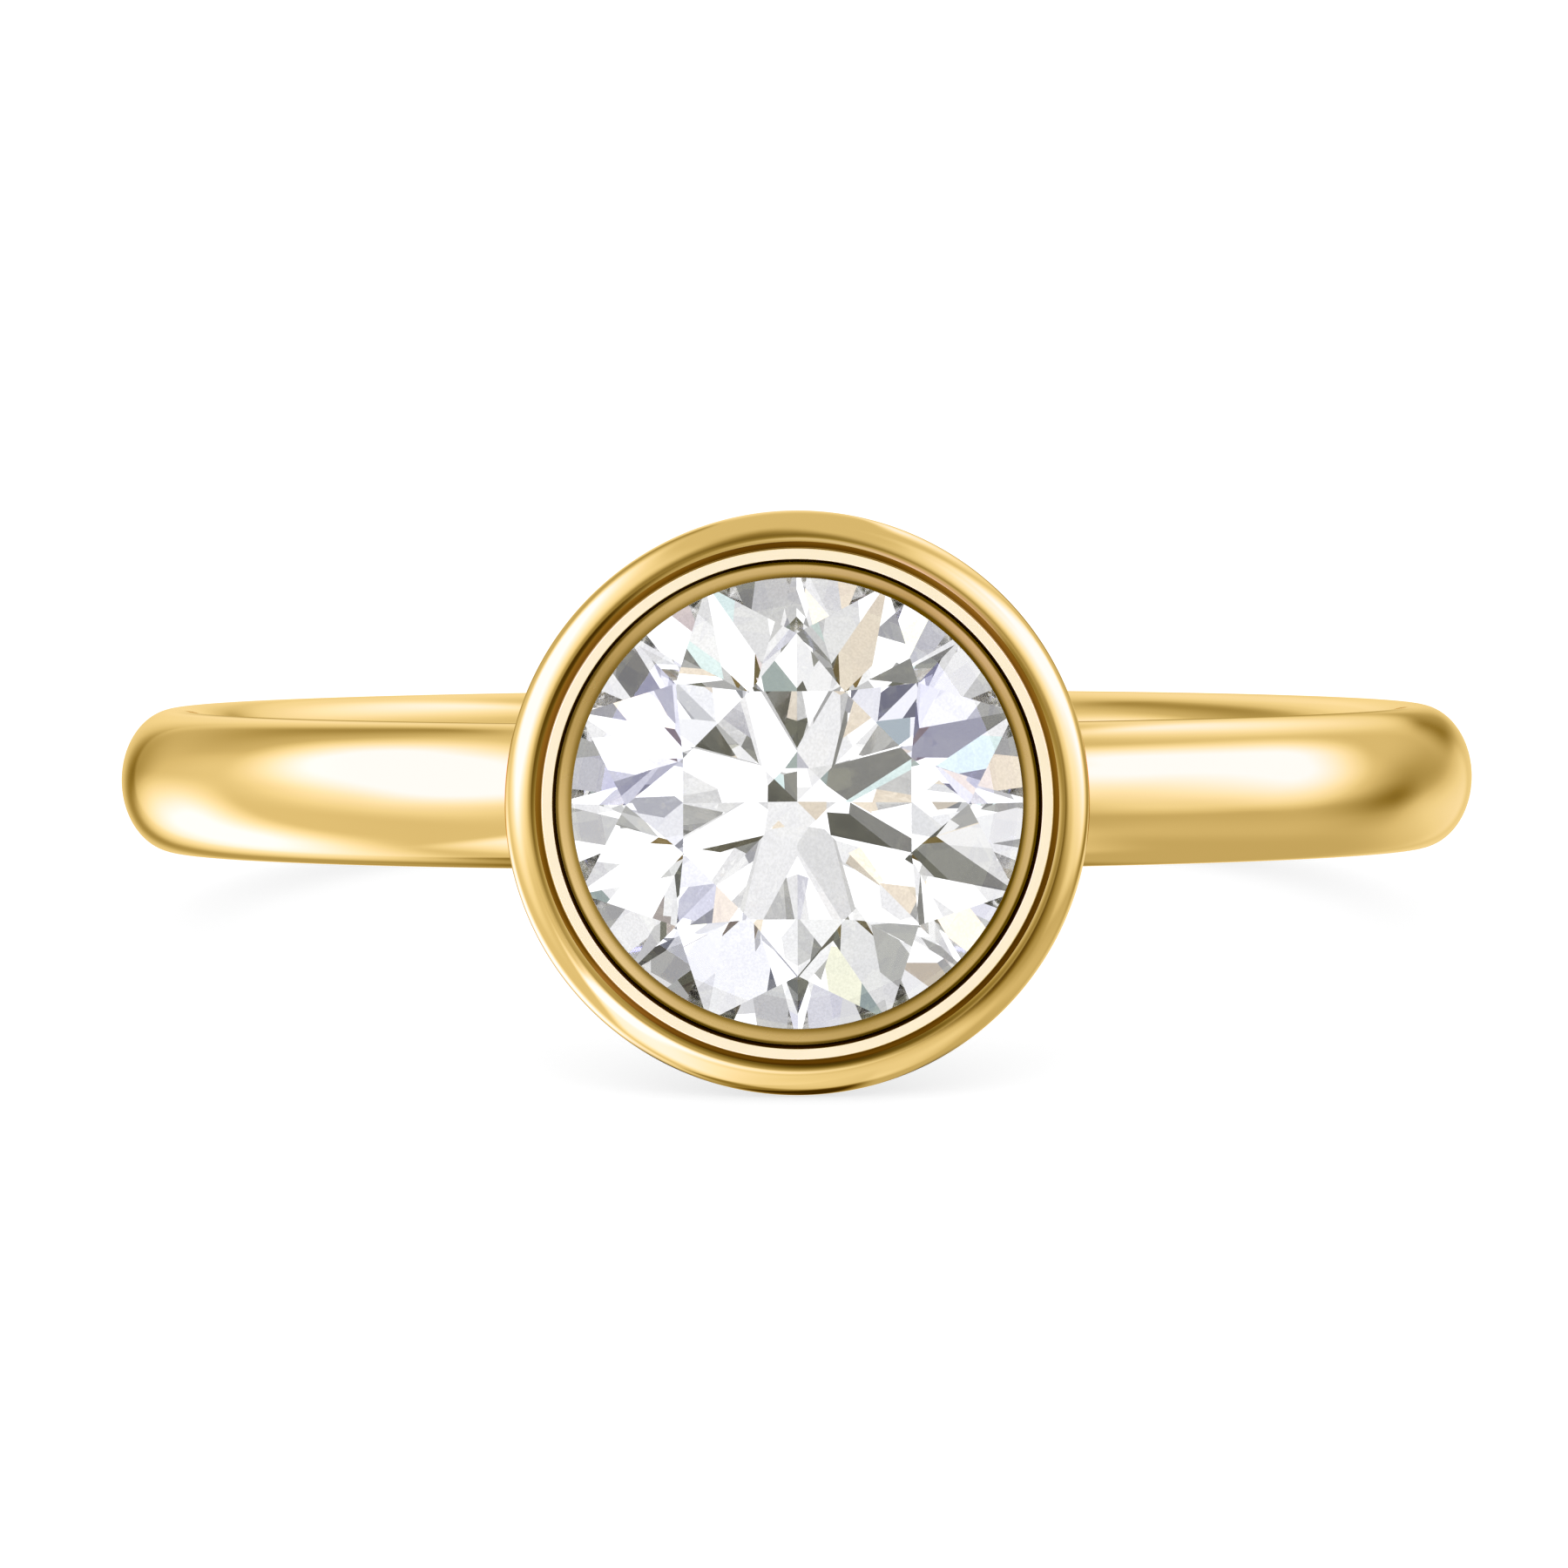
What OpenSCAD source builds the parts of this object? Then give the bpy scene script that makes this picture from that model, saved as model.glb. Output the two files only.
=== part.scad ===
// Solitaire engagement ring: one round brilliant cut stone in a rubbed-over bezel on a plain rounded band.
// It is drawn upright on its finger axis, then laid on its side the way it comes to rest by itself:
// on the lower rim of the bezel and on the lower edge of the band's back. Millimetres, +Z up, head toward -Y.

/* [Finger hole] */
// Diameter of the finger hole; 16.92 is a US size 6.5
finger_hole_d = 16.92; // [15.3:0.02:19]

/* [Band] */
// Width of the band along the finger
band_w = 2.14; // [1.9:0.02:2.5]
// Thickness of the band from the finger hole to its crown
band_t = 1.72; // [1.6:0.02:2]
// Depth of the rounded outer part of the band's section
band_dome = 0.82; // [0.7:0.02:1]
// How much the inside edges are eased: how far their curve would reach past the flat inside
inside_ease = 0.12; // [0.08:0.02:0.2]

/* [Stone] */
// Diameter of the stone at its girdle
stone_d = 6.86; // [6.4:0.02:7.2]
// Width of the table across its corners, as a share of the stone's diameter
table_share = 0.523; // [0.5:0.001:0.56]
// Slope of the crown's main facets, in degrees
crown_angle = 34.5; // [33:0.5:36]
// Reach of the star facets, as a share of the way from the table to the girdle
star_share = 0.47; // [0.45:0.01:0.5]
// Slope of the pavilion's main facets, in degrees
pavilion_angle = 40.75; // [40:0.25:42]
// Length of the lower halves, as a share of the way from the girdle to the point
lower_share = 0.77; // [0.74:0.01:0.82]
// Thickness of the girdle
girdle_t = 0.2; // [0.16:0.01:0.26]
// Height of the stone's point above the inside of the finger hole
point_rise = 0.6; // [0.5:0.02:0.8]

/* [Bezel] */
// How far the metal overlaps the stone's edge
lip_overlap = 0.15; // [0.12:0.01:0.2]
// Width of the ledge between the stone and the lip's inner wall
ledge_w = 0.24; // [0.2:0.01:0.28]
// Slope of that ledge down to the stone, in degrees
ledge_slope = 12; // [8:1:20]
// How far the lip's inner wall leans outward on its way up
wall_lean = 0.04; // [0.03:0.01:0.06]
// Height of the flat lip above the ledge's edge at the stone
lip_rise = 0.4; // [0.36:0.01:0.46]
// Width of the flat lip
lip_flat_w = 0.16; // [0.12:0.01:0.2]
// Thickness of the round roll outside the lip
roll_d = 0.74; // [0.68:0.02:0.8]
// How far the roll is let into the lip's wall
roll_overlap = 0.2; // [0.16:0.01:0.24]
// Height of the lip above the roll's crest
lip_step = 0.22; // [0.1:0.02:0.3]
// How far the cup's tapered wall stands out past the lip at the height of the roll's middle
cup_shoulder = 0.33; // [0.28:0.01:0.38]
// Radius of the cup's foot
cup_foot_r = 2.35; // [2.2:0.05:2.5]
// How deep the cup's foot is let into the band
cup_sink = 0.5; // [0.4:0.05:0.6]
// Clearance between the stone and the metal
seat_gap = 0.03; // [0.02:0.005:0.04]

/* [Hidden] */

gold = [0.86, 0.66, 0.31];
white = [0.93, 0.95, 0.97];

// Band, in the ring's own frame: the finger axis is Z and the head stands toward -Y.
hole_r = finger_hole_d / 2;
band_r = hole_r + band_t;
edge_r = band_r - band_dome;
inside_depth = edge_r - hole_r + inside_ease;
half_w = band_w / 2;

// Stone, by heights above the finger axis along the head's axis.
stone_r = stone_d / 2;
table_r = stone_r * table_share;
sector = 45;
half_sector = sector / 2;
table_flat_r = table_r * cos(half_sector);
star_r = table_flat_r + star_share * (stone_r - table_flat_r);
crown_h = (stone_r - table_r) * tan(crown_angle);
star_h = (stone_r - star_r * cos(half_sector)) * tan(crown_angle);
chord_r = stone_r * cos(half_sector / 2);
upper_angle = atan(star_h / (chord_r - star_r * cos(half_sector / 2)));
pavilion_h = stone_r * tan(pavilion_angle);
knee_r = (1 - lower_share) * stone_r;
knee_h = (stone_r - knee_r * cos(half_sector)) * tan(pavilion_angle);
lower_angle = atan(knee_h / (chord_r - knee_r * cos(half_sector / 2)));
point_z = hole_r + point_rise;
girdle_low_z = point_z + pavilion_h;
girdle_top_z = girdle_low_z + girdle_t;
table_z = girdle_top_z + crown_h;

// Bezel, by radius about the head's axis and height above the finger axis.
opening_r = stone_r - lip_overlap;
ledge_r = opening_r + ledge_w;
lip_in_r = ledge_r + wall_lean;
lip_out_r = lip_in_r + lip_flat_w;
roll_r = roll_d / 2;
roll_ring_r = lip_out_r + roll_r - roll_overlap;
crown_edge_slope = star_h / (stone_r - star_r);
pavilion_edge_slope = knee_h / (stone_r - knee_r);
crown_gap = seat_gap * sqrt(1 + pow(crown_edge_slope, 2));
pavilion_gap = seat_gap * sqrt(1 + pow(pavilion_edge_slope, 2));
opening_z = girdle_top_z + lip_overlap * crown_edge_slope + crown_gap;
ledge_z = opening_z + ledge_w * tan(ledge_slope);
lip_z = opening_z + lip_rise;
roll_z = lip_z - lip_step - roll_r;
cup_top_r = lip_out_r + cup_shoulder;
cup_foot_z = band_r - cup_sink;
seat_r = stone_r + seat_gap;
above = 1;

// The resting pose: the tilt at which the roll and the back of the band hang equally low.
function head_drop(t) = roll_ring_r * cos(t) + roll_r - roll_z * sin(t);
function back_drop(t) = edge_r * sin(t) + sqrt(pow(band_dome * sin(t), 2) + pow(half_w * cos(t), 2));
function rest_tilt(low, high, steps) =
    let (mid = (low + high) / 2)
    steps == 0 ? mid
    : head_drop(mid) > back_drop(mid) ? rest_tilt(mid, high, steps - 1)
    : rest_tilt(low, mid, steps - 1);
tilt = rest_tilt(0, 30, 40);
lift = back_drop(tilt);
front_lip = lip_z * cos(tilt) + lip_out_r * sin(tilt);
front_table = table_z * cos(tilt) + table_flat_r * sin(tilt);
front = max(front_lip, front_table);
back = edge_r * cos(tilt) + sqrt(pow(band_dome * cos(tilt), 2) + pow(half_w * sin(tilt), 2));

// Puts the ring's own frame into its resting pose, centred over the origin.
module at_rest() {
    translate([0, (front - back) / 2, lift]) rotate([-tilt, 0, 0]) children();
}

// Puts shapes drawn about +Z onto the head's axis, heights counted from the finger axis.
module on_head() {
    rotate([90, 0, 0]) children();
}

// Half of the band's oval section, on one side of its widest line.
module half_oval(depth, side) {
    intersection() {
        translate([edge_r, 0]) scale([depth / half_w, 1]) circle(r = half_w);
        translate([edge_r + (side < 0 ? -2 * depth : 0), -band_w]) square([2 * depth, 2 * band_w]);
    }
}

module band() {
    rotate_extrude($fn = 180) difference() {
        union() {
            half_oval(band_dome, 1);
            half_oval(inside_depth, -1);
        }
        translate([0, -band_w]) square([hole_r, 2 * band_w]);
    }
}

// The tapered cup with its upright lip.
module cup() {
    rotate_extrude($fn = 120) polygon([
        [0, cup_foot_z],
        [cup_foot_r, cup_foot_z],
        [cup_top_r, roll_z],
        [lip_out_r, roll_z],
        [lip_out_r, lip_z],
        [0, lip_z]
    ]);
}

// The round roll that runs outside the lip.
module roll() {
    rotate_extrude($fn = 120) translate([roll_ring_r, roll_z]) circle(r = roll_r, $fn = 48);
}

// The space for the stone: seat, girdle wall, underside of the ledge, the ledge and the lip's inner wall.
module stone_space() {
    rotate_extrude($fn = 120) polygon([
        [0, point_z - pavilion_gap],
        [knee_r, girdle_low_z - knee_h - pavilion_gap],
        [seat_r, girdle_low_z - pavilion_gap + seat_gap * pavilion_edge_slope],
        [seat_r, girdle_top_z + crown_gap - seat_gap * crown_edge_slope],
        [opening_r, opening_z],
        [ledge_r, ledge_z],
        [lip_in_r, lip_z],
        [lip_in_r, lip_z + above],
        [0, lip_z + above]
    ]);
}

// A point given by azimuth and radius about the head's axis and by height.
function polar(azimuth, r, z) = [r * cos(azimuth), r * sin(azimuth), z];

// How far the girdle's edge dips between two chord ends, for facets that slope by angle.
function scallop(azimuth, angle) =
    let (middle = (floor(azimuth / half_sector) + 0.5) * half_sector)
    (stone_r * cos(azimuth - middle) - chord_r) * tan(angle);

// The stone as the solid between its facets' corners, its facets named as a cutter names them.
module brilliant() {
    per_half = 6;
    around = 16 * per_half;
    girdle = [for (k = [0 : around - 1]) k * 360 / around];
    eighths = [0 : 7];
    corners = concat(
        [for (i = eighths) polar(half_sector + i * sector, table_r, table_z)],
        [for (i = eighths) polar(i * sector, star_r, girdle_top_z + star_h)],
        [for (a = girdle) polar(a, stone_r, girdle_top_z - scallop(a, upper_angle))],
        [for (a = girdle) polar(a, stone_r, girdle_low_z + scallop(a, lower_angle))],
        [for (i = eighths) polar(i * sector, knee_r, girdle_low_z - knee_h)],
        [polar(0, 0, point_z)]
    );
    table_at = 0;
    tip_at = table_at + 8;
    top_at = tip_at + 8;
    low_at = top_at + around;
    knee_at = low_at + around;
    point_at = knee_at + 8;
    function tip(i) = tip_at + i % 8;
    function knee(i) = knee_at + i % 8;
    function top(k) = top_at + (k + around) % around;
    function low(k) = low_at + (k + around) % around;
    table = [for (i = [7 : -1 : 0]) table_at + i];
    stars = [for (i = eighths) [table_at + i, tip(i), table_at + (i + 7) % 8]];
    kites = [for (i = eighths) [tip(i + 1), top((2 * i + 1) * per_half), tip(i), table_at + i]];
    uppers = [for (i = eighths, half = [-1, 0])
        concat([tip(i)], [for (k = [per_half : -1 : 0]) top((2 * i + half) * per_half + k)])];
    band_of_girdle = [for (k = [0 : around - 1]) [top(k), top(k + 1), low(k + 1), low(k)]];
    lowers = [for (i = eighths, half = [-1, 0])
        concat([knee(i)], [for (k = [0 : per_half]) low((2 * i + half) * per_half + k)])];
    mains = [for (i = eighths) [knee(i), low((2 * i + 1) * per_half), knee(i + 1), point_at]];
    polyhedron(corners, concat([table], stars, kites, uppers, band_of_girdle, lowers, mains));
}

// Band, cup and roll are soldered into one piece of gold, which is hollow under the stone.
module mounting() {
    color(gold) at_rest() difference() {
        union() {
            band();
            on_head() cup();
            on_head() roll();
        }
        on_head() stone_space();
    }
}

module stone() {
    color(white) at_rest() on_head() brilliant();
}

mounting();
stone();
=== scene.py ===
"""Solitaire engagement ring, lying on its side: a round brilliant cut stone in a bezel with a flat lip
and a round roll, on a plain rounded gold band."""

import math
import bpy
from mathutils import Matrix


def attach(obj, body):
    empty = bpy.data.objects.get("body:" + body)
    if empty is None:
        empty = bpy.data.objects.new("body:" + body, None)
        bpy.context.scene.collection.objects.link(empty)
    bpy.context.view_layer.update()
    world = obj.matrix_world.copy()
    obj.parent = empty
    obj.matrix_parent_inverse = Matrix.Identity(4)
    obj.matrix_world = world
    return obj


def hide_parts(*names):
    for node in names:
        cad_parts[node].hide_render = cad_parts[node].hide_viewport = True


bl_info = {
    "name": "Solitaire Ring",
    "version": (1, 0, 0),
    "blender": (4, 5, 0),
    "location": "View3D > Sidebar > Ring",
    "description": "Makes a bezel set solitaire ring, its finishes and its studio stage",
    "category": "Add Mesh",
}

import bpy
import numpy as np
from bpy.props import FloatProperty, FloatVectorProperty, PointerProperty
from mathutils import Matrix, Vector

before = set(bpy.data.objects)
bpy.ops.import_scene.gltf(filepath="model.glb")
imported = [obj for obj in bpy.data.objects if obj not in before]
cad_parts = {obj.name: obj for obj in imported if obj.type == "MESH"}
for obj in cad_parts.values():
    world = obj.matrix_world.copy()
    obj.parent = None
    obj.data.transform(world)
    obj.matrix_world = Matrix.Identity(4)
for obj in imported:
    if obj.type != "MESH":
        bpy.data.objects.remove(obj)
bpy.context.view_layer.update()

MM = 0.001
# The cut has this many stars, kites and mains, one of each to a sector.
MAINS = 8
SECTOR = 2 * math.pi / MAINS


# Settings


def length_field(name, description, default, low, high):
    """A length, its default and its limits given in millimetres."""
    return FloatProperty(
        name=name,
        description=description,
        default=default * MM,
        min=low * MM,
        max=high * MM,
        precision=5,
        unit="LENGTH",
    )


def angle_field(name, description, degrees):
    """An angle, its default given in degrees."""
    return FloatProperty(
        name=name, description=description, default=math.radians(degrees), subtype="ANGLE", unit="ROTATION"
    )


def share_field(name, description, default, low=0, high=1):
    """A share of a whole."""
    return FloatProperty(
        name=name, description=description, default=default, min=low, max=high, subtype="FACTOR"
    )


def light_field(name, description, default):
    """A brightness, 1 being that of a white page."""
    return FloatProperty(name=name, description=description, default=default, min=0, max=5)


def colour_field(name, description, default):
    """A colour as red, green and blue."""
    return FloatVectorProperty(
        name=name, description=description, default=default, size=3, subtype="COLOR", min=0, max=1
    )


class BandSettings(bpy.types.PropertyGroup):
    """Sizes of the plain band."""

    hole_d: length_field("Finger hole", "Diameter inside the band; 16.92 is a US size 6.5", 16.92, 14, 22)
    width: length_field("Width", "Width of the band along the finger", 2.14, 1.5, 4)
    thickness: length_field("Thickness", "From the finger hole to the crown of the band", 1.72, 1.2, 3)
    dome: length_field("Dome", "Depth of the rounded outer part of the section", 0.82, 0.4, 1.2)
    ease: length_field("Inside ease", "How far the inside curves would pass the flat", 0.12, 0.02, 0.3)


class StoneSettings(bpy.types.PropertyGroup):
    """Proportions of the cut stone."""

    diameter: length_field("Diameter", "Diameter at the girdle", 6.86, 4, 9)
    table_share: share_field("Table", "Width across its corners over the diameter", 0.523, 0.4, 0.7)
    crown_angle: angle_field("Crown angle", "Slope of the kites", 34.5)
    star_share: share_field("Stars", "Reach of the stars from the table towards the girdle", 0.47, 0.3, 0.7)
    pavilion_angle: angle_field("Pavilion angle", "Slope of the mains", 40.75)
    lower_share: share_field("Lower halves", "Reach from the girdle towards the point", 0.77, 0.6, 0.9)
    girdle: length_field("Girdle", "Thickness of the girdle", 0.2, 0.1, 0.4)
    point_rise: length_field("Point rise", "Height of the point above the finger hole", 0.6, 0.3, 1.5)


class BezelSettings(bpy.types.PropertyGroup):
    """Sizes of the bezel."""

    overlap: length_field("Overlap", "How far the metal overlaps the stone's edge", 0.15, 0.05, 0.3)
    ledge_w: length_field("Ledge", "Width between the stone and the lip's inner wall", 0.24, 0.1, 0.5)
    ledge_slope: angle_field("Ledge slope", "Slope of the ledge down to the stone", 12)
    wall_lean: length_field("Wall lean", "How far the lip's inner wall leans outward", 0.04, 0, 0.2)
    lip_rise: length_field("Lip rise", "Height of the lip above the ledge's inner edge", 0.4, 0.2, 0.8)
    flat_w: length_field("Lip", "Width of the flat lip", 0.16, 0.08, 0.4)
    roll_d: length_field("Roll", "Thickness of the round roll outside the lip", 0.74, 0.3, 1.2)
    roll_overlap: length_field("Roll overlap", "How far the roll is let into the wall", 0.2, 0.05, 0.4)
    lip_step: length_field("Lip step", "Height of the lip above the crest of the roll", 0.22, 0, 0.5)
    shoulder: length_field("Cup shoulder", "How far the cup stands out past the lip", 0.33, 0.1, 0.6)
    foot_r: length_field("Cup foot", "Radius of the cup's foot", 2.35, 1.5, 3)
    sink: length_field("Cup sink", "How deep the cup's foot is let into the band", 0.5, 0.2, 0.8)
    gap: length_field("Seat gap", "Clearance between stone and metal", 0.03, 0.01, 0.06)
    edge: length_field("Edge ease", "Width of the eased corners", 0.008, 0.004, 0.05)


class FinishSettings(bpy.types.PropertyGroup):
    """Colours and gloss."""

    gold: colour_field("Gold", "Colour of the polished gold", (0.68, 0.47, 0.155))
    satin: colour_field("Satin", "Colour of the satined lip", (0.84, 0.72, 0.37))
    plating: colour_field("Plating", "Colour of the white plated seat", (0.97, 0.96, 0.92))
    gold_roughness: share_field("Gold roughness", "Blur of the polish", 0.06)
    satin_roughness: share_field("Lip roughness", "Blur of the satined lip", 0.42)
    stone_glare: share_field("Glare", "Share of the mirror-like glare kept on the stone's faces", 0.3)
    stone_ior: FloatProperty(
        name="Refraction", description="Refractive index of the stone", default=2.417, min=1.4, max=2.8
    )


class StageSettings(bpy.types.PropertyGroup):
    """Camera, floor and studio light."""

    view_rise: angle_field("View rise", "Angle of the camera above the band's own plane", 1.75)
    view_roll: angle_field("Roll", "Turn of the camera about its axis", 0.2)
    distance: length_field("Distance", "From the camera to the middle of the ring", 350, 100, 2000)
    frame_width: length_field("Frame width", "Width shown at the ring's middle", 23.653, 10, 60)
    ring_right: length_field("Ring right", "Ring's middle to the right of the frame's middle", 0.192, -5, 5)
    ring_up: length_field("Ring up", "Ring's middle above the frame's middle", 0.096, -5, 5)
    floor_colour: colour_field("Floor", "Colour of the floor", (0.62, 0.62, 0.62))
    floor_glow: light_field("Floor glow", "Light of the floor's own", 0.72)
    floor_light: light_field("Floor light", "Even light that falls on the floor", 0.8)
    tent: light_field("Tent", "Brightness of the white tent above the ring", 1.06)
    tent_low: light_field("Tent below", "Brightness of the white tent below the horizon", 0.84)
    boxes: light_field("Soft boxes", "What the listed brightness of the soft boxes is multiplied by", 1.0)


# Sizes that follow from the settings


class Ring:
    """Every radius and height worked out from the settings; heights are counted from the finger axis."""

    def __init__(self, scene):
        band, stone, bezel = scene.ring_band, scene.ring_stone, scene.ring_bezel
        self.hole_r = band.hole_d / 2
        self.band_r = self.hole_r + band.thickness
        self.edge_r = self.band_r - band.dome
        self.inside_depth = self.edge_r - self.hole_r + band.ease
        self.half_w = band.width / 2
        self.dome = band.dome

        half = SECTOR / 2
        self.stone_r = stone.diameter / 2
        self.table_r = self.stone_r * stone.table_share
        table_flat = self.table_r * math.cos(half)
        self.star_r = table_flat + stone.star_share * (self.stone_r - table_flat)
        crown, pavilion = math.tan(stone.crown_angle), math.tan(stone.pavilion_angle)
        self.star_h = (self.stone_r - self.star_r * math.cos(half)) * crown
        self.chord_r = self.stone_r * math.cos(half / 2)
        self.upper_slope = self.star_h / (self.chord_r - self.star_r * math.cos(half / 2))
        self.knee_r = (1 - stone.lower_share) * self.stone_r
        self.knee_h = (self.stone_r - self.knee_r * math.cos(half)) * pavilion
        self.lower_slope = self.knee_h / (self.chord_r - self.knee_r * math.cos(half / 2))
        self.point_z = self.hole_r + stone.point_rise
        self.girdle_low = self.point_z + self.stone_r * pavilion
        self.girdle_top = self.girdle_low + stone.girdle
        self.table_z = self.girdle_top + (self.stone_r - self.table_r) * crown

        crown_edge = self.star_h / (self.stone_r - self.star_r)
        pavilion_edge = self.knee_h / (self.stone_r - self.knee_r)
        crown_gap = bezel.gap * math.hypot(1, crown_edge)
        self.seat_drop = bezel.gap * math.hypot(1, pavilion_edge)
        self.seat_r = self.stone_r + bezel.gap
        self.seat_low = self.girdle_low - self.seat_drop + bezel.gap * pavilion_edge
        self.seat_top = self.girdle_top + crown_gap - bezel.gap * crown_edge
        self.opening_r = self.stone_r - bezel.overlap
        self.opening_z = self.girdle_top + bezel.overlap * crown_edge + crown_gap
        self.ledge_r = self.opening_r + bezel.ledge_w
        self.ledge_z = self.opening_z + bezel.ledge_w * math.tan(bezel.ledge_slope)
        self.lip_in = self.ledge_r + bezel.wall_lean
        self.lip_out = self.lip_in + bezel.flat_w
        self.lip_z = self.opening_z + bezel.lip_rise
        self.roll_r = bezel.roll_d / 2
        self.roll_ring = self.lip_out + self.roll_r - bezel.roll_overlap
        self.roll_z = self.lip_z - bezel.lip_step - self.roll_r
        self.cup_top = self.lip_out + bezel.shoulder
        self.foot_r = bezel.foot_r
        self.foot_z = self.band_r - bezel.sink
        self.edge = bezel.edge

        self.tilt = self.rest_tilt(steepest=math.radians(30), halvings=40)
        self.lift = self.back_drop(self.tilt)
        cos, sin = math.cos(self.tilt), math.sin(self.tilt)
        front = max(self.lip_z * cos + self.lip_out * sin, self.table_z * cos + table_flat * sin)
        back = self.edge_r * cos + math.hypot(self.dome * cos, self.half_w * sin)
        self.shift = (front - back) / 2

    def head_drop(self, tilt):
        """How far the roll hangs below the ring's middle at a tilt."""
        return self.roll_ring * math.cos(tilt) + self.roll_r - self.roll_z * math.sin(tilt)

    def back_drop(self, tilt):
        """How far the back of the band hangs below the ring's middle at a tilt."""
        section = math.hypot(self.dome * math.sin(tilt), self.half_w * math.cos(tilt))
        return self.edge_r * math.sin(tilt) + section

    def rest_tilt(self, steepest, halvings):
        """The tilt up to steepest at which head and back hang equally low, by halving the interval."""
        low, high = 0.0, steepest
        for _ in range(halvings):
            middle = (low + high) / 2
            if self.head_drop(middle) > self.back_drop(middle):
                low = middle
            else:
                high = middle
        return (low + high) / 2

    def seat(self, r):
        """Height of the seat at radius r: straight lines through point, knee and girdle, less the gap."""
        knee_z = self.girdle_low - self.knee_h
        stone_z = np.interp(r, [0, self.knee_r, self.stone_r], [self.point_z, knee_z, self.girdle_low])
        return stone_z - self.seat_drop

    def placed(self, points):
        """From the ring's own frame, finger axis Z and head towards -Y, to rest: turned and lifted."""
        cos, sin = math.cos(self.tilt), math.sin(self.tilt)
        x, y, z = np.moveaxis(points, -1, 0)
        return np.stack([x, y * cos + z * sin + self.shift, z * cos - y * sin + self.lift], axis=-1)

    def on_head(self, points):
        """Head's own frame, its axis Z, into the ring's own frame, where that axis is -Y."""
        x, y, z = np.moveaxis(points, -1, 0)
        return np.stack([x, -z, y], axis=-1)


# Curves and meshes


def rise(value, start, end):
    """0 up to start, 1 from end on, and an S curve between them."""
    share = np.clip((value - start) / (end - start), 0, 1)
    return share * share * (3 - 2 * share)


def read_off(value, pairs):
    """What a list of (place, value) gives at a place: straight lines from each pair to the next."""
    places, values = zip(*pairs)
    return np.interp(value, places, values)


def arc(centre, radii, start, end, count):
    """Points centre + radii * (cos a, sin a) for count angles a from start to end, in degrees."""
    a = np.radians(np.linspace(start, end, count))
    return np.stack([centre[0] + radii[0] * np.cos(a), centre[1] + radii[1] * np.sin(a)], axis=-1)


def line(start, end, count, ease):
    """Points on a straight line. Its ends are drawn in by ease, so that the next stretch of the profile
    makes a small bevel there, and one more point as far on keeps the shading of the rest flat."""
    start, end = np.array(start, float), np.array(end, float)
    reach = np.linalg.norm(end - start)
    places = np.concatenate([[ease], np.linspace(2 * ease, reach - 2 * ease, count - 2), [reach - ease]])
    return start + (end - start) / reach * places[:, None]


def revolved(profile, count):
    """A profile of (radius, height) carried round Z: point (i, j) is profile j after i / count turns."""
    a = np.linspace(0, 2 * np.pi, count, endpoint=False)[:, None]
    r, z = np.moveaxis(profile, -1, 0)
    return np.stack(np.broadcast_arrays(r * np.cos(a), r * np.sin(a), z), axis=-1)


def grid_faces(rows, columns, closed):
    """Quads between neighbours of a grid. Its last row joins its first, and its last column if closed."""
    i, j = np.meshgrid(np.arange(rows), np.arange(columns if closed else columns - 1), indexing="ij")
    i2, j2 = (i + 1) % rows, (j + 1) % columns
    corners = np.stack([i * columns + j, i2 * columns + j, i2 * columns + j2, i * columns + j2], axis=-1)
    return corners.reshape(-1, 4).tolist()


def ball(around, rows, steepest=89.5):
    """Directions (sin a cos e, -cos a cos e, sin e) for azimuths a all round and elevations e up to
    steepest degrees down and up, and the faces of the ball that they make, a flat one at either end."""
    a = np.linspace(0, 2 * np.pi, around, endpoint=False)[:, None]
    e = np.radians(np.linspace(-steepest, steepest, rows))
    directions = np.broadcast_arrays(np.sin(a) * np.cos(e), -np.cos(a) * np.cos(e), np.sin(e))
    lowest = np.arange(around) * rows
    ends = [lowest[::-1].tolist(), (lowest + rows - 1).tolist()]
    return np.stack(directions, axis=-1), grid_faces(around, rows, closed=False) + ends


def mesh_object(name, points, faces, smooth):
    """Puts a whole array of points and a list of faces into a mesh object at the origin."""
    mesh = bpy.data.meshes.new(name)
    mesh.from_pydata(points.reshape(-1, 3), [], faces)
    mesh.polygons.foreach_set("use_smooth", np.full(len(mesh.polygons), smooth))
    if mesh.validate(verbose=False):
        raise RuntimeError(f"{name} has a face that isn't valid")
    mesh.update()
    made = bpy.data.objects.new(name, mesh)
    bpy.context.scene.collection.objects.link(made)
    return made


def card(name, middle, half_width, half_depth):
    """A flat rectangle that faces up, its corners at middle plus or minus half its width and its depth."""
    signs = np.array([[-1, -1, 0], [1, -1, 0], [1, 1, 0], [-1, 1, 0]])
    return mesh_object(name, middle + signs * (half_width, half_depth, 0), [(0, 1, 2, 3)], smooth=False)


def marked(piece, name, values, kind="FLOAT", field="value"):
    """Gives every point of a piece a value, or a colour, that the material reads by its name."""
    mark = piece.data.attributes.new(name, kind, "POINT")
    mark.data.foreach_set(field, np.ascontiguousarray(values, dtype=np.float32).ravel())


def seated(piece, node, material):
    """Gives a piece its body, its material slot and its material, and hides the CAD node that it stands
    for.
    """
    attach(piece, "root")
    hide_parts(node)
    piece.data.materials.append(material)


# Materials


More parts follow.
